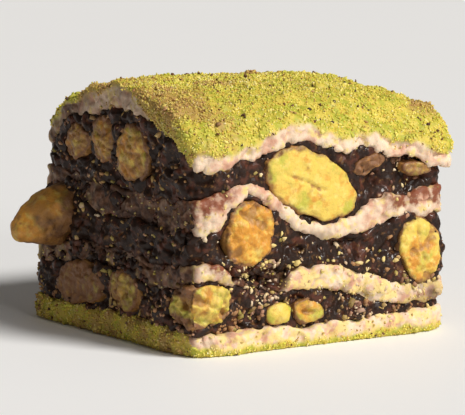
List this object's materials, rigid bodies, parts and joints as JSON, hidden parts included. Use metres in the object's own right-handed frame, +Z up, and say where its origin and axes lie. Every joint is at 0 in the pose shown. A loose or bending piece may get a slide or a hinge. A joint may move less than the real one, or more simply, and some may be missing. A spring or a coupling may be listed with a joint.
{
  "type": "layered pistachio sweet",
  "caption": "Square cut piece of a layered sweet: dark fruit filling between wavy nougat sheets, whole pistachios at the cut faces, ground pistachio on top and underneath.",
  "frame": {"origin": "middle of the flat underside, on the surface the piece stands on", "axes": "+Z up through the layers; -Y out of the front cut face, the one with the large cut pistachio; +X to the right of someone facing it"},
  "size_m": [0.0462, 0.0391, 0.0323],
  "materials": {
    "coating": "rough ground pistachio on nougat",
    "nougat": "soft, satin, slightly see-through",
    "filling": "sticky, glossy, lumpy",
    "nut": "rough where cut"
  },
  "bodies": {
    "root": {"bottom_sheet": "coating", "lower_filling": "filling", "lower_sheet": "nougat", "middle_filling": "filling", "upper_sheet": "nougat", "upper_filling": "filling", "top_sheet": "coating", "nut_front_large": "nut", "nut_front_chip": "nut", "nut_front_sliver": "nut", "nut_front_orange": "nut", "nut_front_corner": "nut", "nut_front_crumbled": "nut", "nut_front_pea": "nut", "nut_front_split": "nut", "nut_left_tall": "nut", "nut_left_upper": "nut", "nut_left_far": "nut", "nut_left_jutting": "nut", "nut_left_round": "nut", "nut_left_green": "nut", "nut_right_low_1": "nut", "nut_right_low_2": "nut", "nut_right_low_3": "nut", "nut_right_middle_1": "nut", "nut_right_middle_2": "nut", "nut_right_high_1": "nut", "nut_right_high_2": "nut", "nut_right_high_3": "nut", "nut_back_low_1": "nut", "nut_back_low_2": "nut", "nut_back_middle_1": "nut", "nut_back_middle_2": "nut", "nut_back_middle_3": "nut", "nut_back_high_1": "nut", "nut_back_high_2": "nut", "nut_back_high_3": "nut"}
  },
  "joints": []
}
